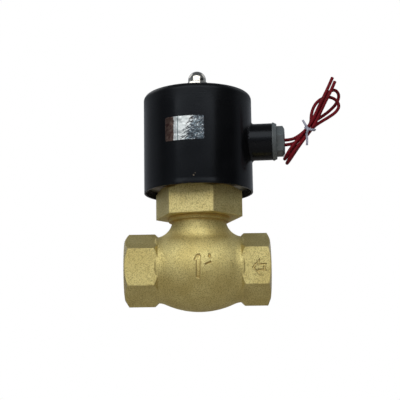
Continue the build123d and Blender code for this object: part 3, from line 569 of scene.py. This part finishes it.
# --- piston group ---------------------------------------------------------------------
# The brass piston with its PTFE ring and seat disc, the hollow screw and washer that hold
# the disc, and the cage that the plunger lifts it by. All turned on a lathe.
def turned_group():
    """Lathe marks about the upright axis: Rings is a noise of the distance from it and the height."""
    tree, given, result = shader_group("turned", {"Pitch": 0.0002}, {"Rings": "Float"})
    parts = node(tree, "ShaderNodeSeparateXYZ", {
        "Vector": node(tree, "ShaderNodeTexCoord").outputs["Object"]}).outputs
    flat = node(tree, "ShaderNodeCombineXYZ", {"X": parts["X"], "Y": parts["Y"]}).outputs[0]
    away = node(tree, "ShaderNodeVectorMath", {0: flat}, operation="LENGTH").outputs["Value"]
    line = node(tree, "ShaderNodeCombineXYZ", {"X": away, "Z": parts["Z"]}).outputs[0]
    noise = node(tree, "ShaderNodeTexNoise", {
        "Vector": line, "Scale": maths(tree, "DIVIDE", 1.0, given["Pitch"]), "Detail": 2.0})
    tree.links.new(noise.outputs["Fac"], result["Rings"])
    return tree


def paler(colour, times):
    """A colour made this many times lighter, up to white."""
    return tuple(min(1.0, times * part) for part in colour[:3]) + (1,)


def turned_finish(name, pale, deep, roughness, pitch, **sockets):
    """A lathe-turned surface: two tones in patches, fine rings, and paler worn edges."""
    material, tree, shader = finish(name, **sockets)
    rub = effect(tree, UNEVEN, Patch_Size=0.008, Grain_Size=0.0005)
    rings = effect(tree, TURNED, Pitch=pitch)["Rings"]
    edge = effect(tree, EDGES, Radius=0.0004)
    colour = blended(tree, rub["Patches"], deep, pale)
    colour = blended(tree, maths(tree, "MULTIPLY", edge["Edge"], 0.5), colour, paler(pale, 1.25))
    feeds(tree, shader, Base_Color=colour,
          Roughness=maths(tree, "MULTIPLY_ADD", rings, 0.16, roughness))
    bumped(tree, shader, rings, 0.00004, 0.6, edge["Rounded"])
    return material


TURNED = turned_group()
TURNED_BRASS = turned_finish(
    "turned_brass", pale=(0.74, 0.60, 0.28, 1), deep=(0.62, 0.47, 0.19, 1), roughness=0.22,
    pitch=0.00025, Metallic=1.0)
PTFE = turned_finish(
    "ptfe", pale=(0.84, 0.84, 0.81, 1), deep=(0.76, 0.76, 0.72, 1), roughness=0.42, pitch=0.0004)
dress(TURNED_BRASS, "piston", "disc_washer", "disc_screw", "lift_cage")
dress(PTFE, "piston_ring", "seat_disc")


# --- bonnet ---------------------------------------------------------------------------
# A forged brass hexagon screwed down on the body over a PTFE ring, blasted like the body.
BONNET_BRASS = cast_brass_finish(
    "bonnet_brass", patch=0.010, dent=0.0006, pale=(0.76, 0.66, 0.30, 1), deep=(0.67, 0.56, 0.24, 1))
dress(BONNET_BRASS, "bonnet")
dress(PTFE, "bonnet_gasket")


# --- guide tube and core --------------------------------------------------------------
# A thin stainless tube with the iron core welded in its top, a copper shading ring in the
# pole face, and the brass ring nut and rubber O-ring that hold the tube in the bonnet.
def rubber_finish(name, colour, dusty):
    """Black rubber: matt, with dust in patches and a fine grain."""
    material, tree, shader = finish(name, Specular_IOR_Level=0.35)
    rub = effect(tree, UNEVEN, Patch_Size=0.004, Grain_Size=0.0003)
    colour = blended(tree, maths(tree, "MULTIPLY", rub["Patches"], 0.5), colour, dusty)
    feeds(tree, shader, Base_Color=colour,
          Roughness=maths(tree, "MULTIPLY_ADD", rub["Grain"], 0.2, 0.55))
    bumped(tree, shader, rub["Grain"], 0.00004)
    return material


STAINLESS = turned_finish(
    "stainless", pale=(0.62, 0.61, 0.59, 1), deep=(0.50, 0.49, 0.47, 1), roughness=0.20,
    pitch=0.0003, Metallic=1.0)
IRON = turned_finish(
    "soft_iron", pale=(0.47, 0.46, 0.45, 1), deep=(0.34, 0.33, 0.32, 1), roughness=0.26,
    pitch=0.0002, Metallic=1.0)
COPPER = turned_finish(
    "copper", pale=(0.72, 0.36, 0.20, 1), deep=(0.55, 0.25, 0.13, 1), roughness=0.24,
    pitch=0.00035, Metallic=1.0)
SEAL_RUBBER = rubber_finish(
    "seal_rubber", colour=(0.012, 0.012, 0.012, 1), dusty=(0.045, 0.044, 0.042, 1))
dress(STAINLESS, "guide_tube")
dress(IRON, "fixed_core")
dress(COPPER, "shading_ring")
dress(TURNED_BRASS, "tube_nut")
dress(SEAL_RUBBER, "tube_seal")


# --- plunger and springs --------------------------------------------------------------
# The iron plunger with a soft seal in its foot, and two round-wire springs.
def spring_wire_finish():
    """Drawn spring wire: dark bright steel, clouded in two tones, with a fine grain."""
    material, tree, shader = finish("spring_wire", Metallic=1.0)
    rub = effect(tree, UNEVEN, Patch_Size=0.002, Grain_Size=0.0002)
    colour = blended(tree, rub["Patches"], (0.30, 0.29, 0.28, 1), (0.46, 0.45, 0.44, 1))
    feeds(tree, shader, Base_Color=colour,
          Roughness=maths(tree, "MULTIPLY_ADD", rub["Grain"], 0.15, 0.25))
    bumped(tree, shader, rub["Grain"], 0.00002)
    return material


SPRING_WIRE = spring_wire_finish()
dress(IRON, "plunger")
dress(PTFE, "pilot_seal")
dress(SPRING_WIRE, "piston_spring", "plunger_spring")


# --- inside the coil ------------------------------------------------------------------
# A moulded bobbin wound with enamelled wire under glass tape, the two split steel sleeves
# in its bore, and the steel disc that leads the flux to the top of the can.
def moulded_finish(name, pale, deep, roughness):
    """Moulded plastic: a faint orange peel, two near tones, and paler edges."""
    material, tree, shader = finish(name, Specular_IOR_Level=0.45)
    rub = effect(tree, UNEVEN, Patch_Size=0.006, Grain_Size=0.0005)
    edge = effect(tree, EDGES, Radius=0.0004)
    colour = blended(tree, rub["Patches"], deep, pale)
    colour = blended(tree, maths(tree, "MULTIPLY", edge["Edge"], 0.6), colour, paler(pale, 1.7))
    feeds(tree, shader, Base_Color=colour,
          Roughness=maths(tree, "MULTIPLY_ADD", rub["Grain"], 0.14, roughness))
    bumped(tree, shader, rub["Grain"], 0.00004, 0.7, edge["Rounded"])
    return material


def wrapped_finish(name, pale, deep, rows, roughness, **sockets):
    """Rows laid round the upright axis, each a raised half round: h = |sin(pi * z / rows)|, where
    rows is the height of one row. Each row is painted pale on its crest and dark between rows:
    painted light and shade."""
    material, tree, shader = finish(name, **sockets)
    rub = effect(tree, UNEVEN, Patch_Size=0.01, Grain_Size=0.0004)
    height = node(tree, "ShaderNodeSeparateXYZ", {
        "Vector": node(tree, "ShaderNodeTexCoord").outputs["Object"]}).outputs["Z"]
    wave = maths(tree, "SINE", maths(tree, "MULTIPLY", height, math.pi / rows))
    row = maths(tree, "ABSOLUTE", wave)
    # Each row is painted pale on its crest and dark where it meets the next: painted light and shade.
    row_light_and_shade = maths(tree, "MULTIPLY", row, maths(tree, "MULTIPLY_ADD", rub["Patches"], 0.4, 0.6))
    feeds(tree, shader, Base_Color=blended(tree, row_light_and_shade, deep, pale),
          Roughness=maths(tree, "MULTIPLY_ADD", rub["Grain"], 0.2, roughness))
    bumped(tree, shader, row, rows * 0.4, 0.7)
    return material


BOBBIN_PLASTIC = moulded_finish(
    "bobbin_plastic", pale=(0.78, 0.74, 0.63, 1), deep=(0.70, 0.65, 0.53, 1), roughness=0.4)
ENAMELLED_WIRE = wrapped_finish(
    "enamelled_wire", pale=(0.62, 0.24, 0.10, 1), deep=(0.20, 0.07, 0.03, 1), rows=0.0005,
    roughness=0.25, Metallic=1.0)
GLASS_TAPE = wrapped_finish(
    "glass_tape", pale=(0.80, 0.77, 0.68, 1), deep=(0.55, 0.52, 0.44, 1), rows=0.0008, roughness=0.6)
dress(BOBBIN_PLASTIC, "bobbin")
dress(ENAMELLED_WIRE, "winding")
dress(GLASS_TAPE, "winding_tape")
dress(IRON, "lower_pole_sleeve", "upper_pole_sleeve", "flux_washer")


# --- base plate -----------------------------------------------------------------------
# The plated steel disc that closes the can from below, with a greenish yellow passivation.
def plated_finish(name, pale, deep, tinged, roughness):
    """Zinc plate: satin, cloudy in two tones, tinged in patches, and dulled in spots."""
    material, tree, shader = finish(name, Metallic=1.0)
    rub = effect(tree, UNEVEN, Patch_Size=0.012, Grain_Size=0.0006)
    cloud = effect(tree, UNEVEN, Patch_Size=0.035, Grain_Size=0.003)
    colour = blended(tree, rub["Patches"], deep, pale)
    colour = blended(tree, maths(tree, "MULTIPLY", cloud["Patches"], 0.7), colour, tinged)
    feeds(tree, shader, Base_Color=colour,
          Roughness=maths(tree, "MULTIPLY_ADD", cloud["Grain"], 0.16, roughness))
    bumped(tree, shader, rub["Grain"], 0.00003)
    return material


YELLOW_ZINC = plated_finish(
    "yellow_zinc", pale=(0.46, 0.46, 0.34, 1), deep=(0.33, 0.34, 0.25, 1),
    tinged=(0.36, 0.24, 0.20, 1), roughness=0.28)
dress(YELLOW_ZINC, "base_plate")


# --- can and conduit boss -------------------------------------------------------------
# A deep-drawn steel can in black enamel, its lower edge opened a little, with a short
# threaded tube welded into its side. Two chips through the enamel near the lower edge.
CAN_RADIUS = 0.0365
LIP_TOP, LIP_FOOT = 0.0558, 0.0522                 # heights where the lip starts and ends
SHOULDER_FOOT, SHOULDER_TOP = 0.104, 0.117
CHIPS = [((-0.0031, -0.0364, 0.0567), 0.00055), ((-0.0020, -0.0364, 0.0581), 0.00042)]
BOSS_RADIUS = 0.0124
BOSS_HEIGHT = 0.0853
BOSS_TURN = math.radians(-6.0)
WELD_SIZE = 0.0014
WELD_RIPPLE = 0.00012
WELD_CLEAR = 0.00002


def enamel_finish(name, chips):
    """Black enamel: glossy, with a slight orange peel, fine drawn rings near the shoulder, a lip
    that opens below, and bare metal in the chips."""
    material, tree, shader = finish(name, Specular_IOR_Level=0.17, Specular_Tint=(0.82, 0.90, 1.0, 1))
    rub = effect(tree, UNEVEN, Patch_Size=0.02, Grain_Size=0.0016)
    rings = effect(tree, TURNED, Pitch=0.0007)["Rings"]
    edge = effect(tree, EDGES, Radius=0.0005)
    place = node(tree, "ShaderNodeTexCoord").outputs["Object"]
    height = node(tree, "ShaderNodeSeparateXYZ", {"Vector": place}).outputs["Z"]
    shoulder = maths(tree, "SMOOTHSTEP", height, SHOULDER_FOOT, SHOULDER_TOP)
    lip = maths(tree, "SMOOTHSTEP", height, LIP_TOP, LIP_FOOT)
    bare = 0.0
    for spot, size in chips:
        away = node(tree, "ShaderNodeVectorMath", {0: place, 1: spot}, operation="DISTANCE")
        ragged = maths(tree, "MULTIPLY_ADD", rub["Grain"], -size * 0.6, away.outputs["Value"])
        chip = maths(tree, "SMOOTHSTEP", ragged, size * 0.7, size * 0.3)
        bare = maths(tree, "MAXIMUM", chip, bare)
    colour = blended(tree, rub["Patches"], (0.0030, 0.0032, 0.0036, 1), (0.0042, 0.0044, 0.0050, 1))
    colour = blended(tree, maths(tree, "MULTIPLY", edge["Edge"], 0.25), colour, (0.03, 0.03, 0.032, 1))
    colour = blended(tree, bare, colour, (0.16, 0.13, 0.09, 1))
    rough = maths(tree, "MULTIPLY_ADD", rub["Patches"], 0.05, 0.20)
    drawn = maths(tree, "MULTIPLY", shoulder, rings)
    feeds(tree, shader, Base_Color=colour, Roughness=maths(tree, "MULTIPLY_ADD", drawn, 0.25, rough))
    peel = maths(tree, "MULTIPLY_ADD", rub["Grain"], 0.015, maths(tree, "MULTIPLY", drawn, 0.10))
    bumped(tree, shader, maths(tree, "MULTIPLY_ADD", lip, 0.36, peel), 0.0004, 1.0, edge["Rounded"])
    return material


def weld_bead(name):
    """The bead round the boss's root, a hollow quarter circle from can to boss. Round the boss by
    angle a and across the bead by angle s, it stands r = boss + size * (1 - sin s) from the boss's
    axis, and size * (1 - cos s) out from the can, plus a clearance and 40 shallow ripples."""
    a = np.linspace(0, 2 * math.pi, 160, endpoint=False)[:, None]
    s = np.linspace(0, math.pi / 2, 9)[None, :]
    proud = WELD_CLEAR + WELD_RIPPLE * np.sin(40 * a) * np.sin(2 * s)
    away = BOSS_RADIUS + WELD_SIZE * (1 - np.sin(s)) + proud
    side = away * np.cos(a)
    out = np.sqrt(CAN_RADIUS ** 2 - side ** 2) + WELD_SIZE * (1 - np.cos(s)) + proud
    x = out * math.cos(BOSS_TURN) - side * math.sin(BOSS_TURN)
    y = out * math.sin(BOSS_TURN) + side * math.cos(BOSS_TURN)
    return grid_mesh(name, np.stack([x, y, BOSS_HEIGHT + away * np.sin(a)], -1)[::-1], round_rows=True)


BLACK_ENAMEL = enamel_finish("black_enamel", CHIPS)
dress(BLACK_ENAMEL, "coil_can", "conduit_boss")
piece("boss_weld", weld_bead("boss_weld"), "coil", BLACK_ENAMEL)


# --- foil label -----------------------------------------------------------------------
# A blank foil label stuck on the front of the can. The foil is wrinkled, and what it mirrors is
# painted into its colour: a brown streaked band along one edge, bright foil, grey and blue clouds.
LABEL_MIDDLE = math.radians(-14.5)
LABEL_HALF = math.radians(20.9)
LABEL_Z, LABEL_HALF_HEIGHT = 0.0883, 0.00795
STREAK_ALONG = (0.0109, 0.0046)                    # the label's two half sizes, leaned by 35 degrees
STREAK_OFF = (-0.0076, 0.0065)
BROWN_REFLECTION_EDGE = (-0.46, -0.51)
PAINTED_CREASES = ((-0.435, 0.020, 0.5), (-0.305, 0.030, 0.85))    # place, half width and darkness
# The colours below are painted reflections in the foil.
REFLECTED_STREAK_DARK, REFLECTED_STREAK_PALE = (0.045, 0.018, 0.016, 1), (0.145, 0.105, 0.085, 1)
BRIGHT_REFLECTION = (0.56, 0.59, 0.58, 1)
REFLECTED_CLOUD_BROWN, REFLECTED_CLOUD_GREY = (0.065, 0.052, 0.045, 1), (0.17, 0.21, 0.23, 1)
REFLECTED_CLOUD_BLUE, PAINTED_GLINT = (0.07, 0.11, 0.14, 1), (0.75, 0.78, 0.78, 1)
CREASE_REFLECTION_GREEN = (0.07, 0.13, 0.13, 1)


def foil_with_painted_reflections():
    """Wrinkled foil whose colour paints what it mirrors: a brown streaked reflection at its left edge, a
    bright reflection beside it, then cloudy grey and blue reflections, by the share of the label's width:
    u = (angle round the can - middle) / half width. The painted streaks lean across it, painted glints
    fleck the grey, and two dark painted crease reflections run up its bright part."""
    material, tree, shader = finish("foil", Metallic=1.0)
    place = node(tree, "ShaderNodeTexCoord").outputs["Object"]
    parts = node(tree, "ShaderNodeSeparateXYZ", {"Vector": place}).outputs
    round_can = maths(tree, "ARCTAN2", parts["X"], maths(tree, "MULTIPLY", parts["Y"], -1.0))
    across = maths(tree, "MULTIPLY_ADD", round_can, 1 / LABEL_HALF, -LABEL_MIDDLE / LABEL_HALF)
    up = maths(tree, "MULTIPLY_ADD", parts["Z"], 1 / LABEL_HALF_HEIGHT, -LABEL_Z / LABEL_HALF_HEIGHT)
    rub = effect(tree, UNEVEN, Patch_Size=0.0035, Grain_Size=0.0009)
    fold = effect(tree, UNEVEN, Patch_Size=0.0075, Grain_Size=0.002)
    along, off = (maths(tree, "MULTIPLY_ADD", across, by_width, maths(tree, "MULTIPLY", up, by_height))
                  for by_width, by_height in (STREAK_ALONG, STREAK_OFF))
    slanted = node(tree, "ShaderNodeCombineXYZ", {
        "X": maths(tree, "MULTIPLY", along, 0.22), "Y": off}).outputs[0]
    streaks = node(tree, "ShaderNodeTexNoise", {"Vector": slanted, "Scale": 1500.0, "Detail": 3.0})
    streak = maths(tree, "SMOOTHSTEP", streaks.outputs["Fac"], 0.38, 0.62)
    # painted reflection: a brown streaked band along the left edge
    reflected_streaks = blended(tree, streak, REFLECTED_STREAK_DARK, REFLECTED_STREAK_PALE)
    ragged = maths(tree, "MULTIPLY_ADD", rub["Patches"], 0.06, across)
    brown = maths(tree, "SMOOTHSTEP", ragged, *BROWN_REFLECTION_EDGE)
    slope = maths(tree, "MULTIPLY_ADD", up, -0.21, maths(tree, "MULTIPLY_ADD", streak, -0.30, across))
    cloudy = maths(tree, "SMOOTHSTEP", slope, -0.12, 0.14)
    clouds = blended(tree, streak, REFLECTED_CLOUD_BROWN, REFLECTED_CLOUD_GREY)
    clouds = blended(tree, maths(tree, "MULTIPLY", fold["Patches"], 0.4), clouds, REFLECTED_CLOUD_BLUE)
    # painted glints in the grey and blue reflections
    speck = maths(tree, "SMOOTHSTEP", rub["Grain"], 0.88, 1.0)
    clouds = blended(tree, maths(tree, "MULTIPLY", speck, 0.8), clouds, PAINTED_GLINT)
    colour = blended(tree, brown, blended(tree, cloudy, BRIGHT_REFLECTION, clouds), reflected_streaks)
    # two dark green painted crease reflections
    for middle, half, dark in PAINTED_CREASES:
        beside = maths(tree, "ABSOLUTE", maths(tree, "SUBTRACT", across, middle))
        line = maths(tree, "SMOOTHSTEP", beside, half, half * 0.4)
        colour = blended(tree, maths(tree, "MULTIPLY", line, dark), colour, CREASE_REFLECTION_GREEN)
    rough = maths(tree, "MULTIPLY_ADD", rub["Grain"], 0.10, 0.34)
    feeds(tree, shader, Base_Color=colour, Roughness=maths(tree, "MULTIPLY_ADD", cloudy, -0.18, rough))
    wrinkles = maths(tree, "MULTIPLY_ADD", fold["Patches"], 1.5, rub["Patches"])
    bumped(tree, shader, wrinkles, 0.00012, 0.8)
    return material


dress(foil_with_painted_reflections(), "foil_label")


# --- gland ----------------------------------------------------------------------------
# A moulded grey plug in the boss, round flange and hexagon, with a rubber grommet.
GLAND_PLASTIC = moulded_finish(
    "gland_plastic", pale=(0.112, 0.130, 0.134, 1), deep=(0.090, 0.103, 0.108, 1), roughness=0.36)
dress(GLAND_PLASTIC, "gland_body")
dress(SEAL_RUBBER, "gland_grommet")


# --- washers and cap nut --------------------------------------------------------------
# A plated washer, a split spring washer, and a nickelled cap nut on the stud.
def nickel_finish():
    """Polished nickel: warm bright metal in two near tones, with fine turned scratches."""
    material, tree, shader = finish("nickel", Metallic=1.0)
    rub = effect(tree, UNEVEN, Patch_Size=0.004, Grain_Size=0.0005)
    edge = effect(tree, EDGES, Radius=0.0004)
    scratch = effect(tree, TURNED, Pitch=0.00012)["Rings"]
    colour = blended(tree, rub["Patches"], (0.50, 0.48, 0.43, 1), (0.60, 0.58, 0.52, 1))
    feeds(tree, shader, Base_Color=colour, Roughness=maths(tree, "MULTIPLY_ADD", scratch, 0.12, 0.07))
    bumped(tree, shader, rub["Grain"], 0.00001, 0.5, edge["Rounded"])
    return material


BRIGHT_ZINC = plated_finish(
    "bright_zinc", pale=(0.58, 0.58, 0.55, 1), deep=(0.44, 0.44, 0.42, 1),
    tinged=(0.50, 0.48, 0.40, 1), roughness=0.26)
dress(BRIGHT_ZINC, "flat_washer")
dress(SPRING_WIRE, "spring_washer")
dress(nickel_finish(), "acorn_nut")


# --- lights and floor -----------------------------------------------------------------
# One large soft light high in front, two fainter ones behind at the sides, a pale floor
# under the valve, and white all round.
AIM_Z = 0.04
FLOOR_Z = -0.125
FLOOR_REACH = 12.0


def area_light(name, azimuth, height, distance, size, power):
    """A rectangular light of this width and height, aimed at a point on the upright axis. It stands
    at this azimuth from the front, positive to the right, and this angle up, in degrees."""
    lamp = bpy.data.objects.new(name, bpy.data.lights.new(name, "AREA"))
    lamp.data.shape = "RECTANGLE"
    lamp.data.size, lamp.data.size_y = size
    lamp.data.energy = power
    turn, lift = math.radians(azimuth), math.radians(height)
    level = distance * math.cos(lift)
    lamp.location = (level * math.sin(turn), -level * math.cos(turn), distance * math.sin(lift) + AIM_Z)
    lamp.rotation_euler = (math.pi / 2 - lift, 0.0, turn)
    lamp.visible_camera = False
    bpy.context.collection.objects.link(lamp)


area_light("key_light", azimuth=-6, height=38, distance=1.2, size=(2.0, 0.80), power=11.8)
area_light("left_back_light", azimuth=-128, height=42, distance=1.3, size=(0.6, 0.6), power=1.2)
area_light("right_back_light", azimuth=122, height=42, distance=1.3, size=(0.6, 0.6), power=0.6)


def floor_finish():
    """A pale matt floor, lifted where it is looked at, so that it stays pale under soft light."""
    material, tree, shader = finish("floor", Base_Color=(0.56, 0.52, 0.47, 1), Roughness=0.7,
                                    Emission_Color=(1, 1, 1, 1))
    seen = node(tree, "ShaderNodeLightPath").outputs["Is Camera Ray"]
    feeds(tree, shader, Emission_Strength=maths(tree, "MULTIPLY", seen, 0.80))
    return material


floor_line = np.linspace(-FLOOR_REACH, FLOOR_REACH, 3)
floor_x, floor_y = np.meshgrid(floor_line, floor_line)
floor_grid = np.stack([floor_x, floor_y, np.full_like(floor_x, FLOOR_Z)], axis=-1)
floor = bpy.data.objects.new("floor", grid_mesh("floor", floor_grid))
floor.data.materials.append(floor_finish())
bpy.context.collection.objects.link(floor)


def studio_world():
    """What the valve mirrors besides the lights: a grey screen low in front on the left, darkness
    low in front on the right, pale walls at the sides and behind, and a faint blue-grey room
    elsewhere. Seen directly it is white."""
    world = bpy.data.worlds.new("studio")
    world.use_nodes = True
    tree = world.node_tree
    background = tree.nodes["Background"]
    direction = node(tree, "ShaderNodeTexCoord").outputs["Generated"]
    parts = node(tree, "ShaderNodeSeparateXYZ", {"Vector": direction}).outputs
    azimuth = maths(tree, "ARCTAN2", parts["X"], maths(tree, "MULTIPLY", parts["Y"], -1.0))
    low = maths(tree, "SMOOTHSTEP", parts["Z"], 0.50, 0.30)
    screen = maths(tree, "MULTIPLY", maths(tree, "SMOOTHSTEP", azimuth, -1.55, -0.75),
                   maths(tree, "SMOOTHSTEP", azimuth, 0.56, 0.44))
    dark = maths(tree, "MULTIPLY", maths(tree, "SMOOTHSTEP", azimuth, 0.44, 0.56),
                 maths(tree, "SMOOTHSTEP", azimuth, 1.9, 1.4))
    walls = maths(tree, "MULTIPLY", maths(tree, "SMOOTHSTEP", maths(tree, "ABSOLUTE", azimuth), 1.35, 1.75),
                  maths(tree, "SMOOTHSTEP", parts["Z"], 0.95, 0.70))
    shine = maths(tree, "MULTIPLY_ADD", maths(tree, "MULTIPLY", screen, low), 0.26, 0.15)
    shine = maths(tree, "MULTIPLY_ADD", maths(tree, "MULTIPLY", dark, low), -0.12, shine)
    shine = maths(tree, "MULTIPLY_ADD", walls, 0.22, shine)
    seen = node(tree, "ShaderNodeLightPath").outputs["Is Camera Ray"]
    tree.links.new(blended(tree, seen, (0.84, 0.90, 1.0, 1), (1, 1, 1, 1)), background.inputs["Color"])
    tree.links.new(maths(tree, "MAXIMUM", shine, seen), background.inputs["Strength"])
    bpy.context.scene.world = world


studio_world()
bpy.context.scene.view_settings.view_transform = "Standard"
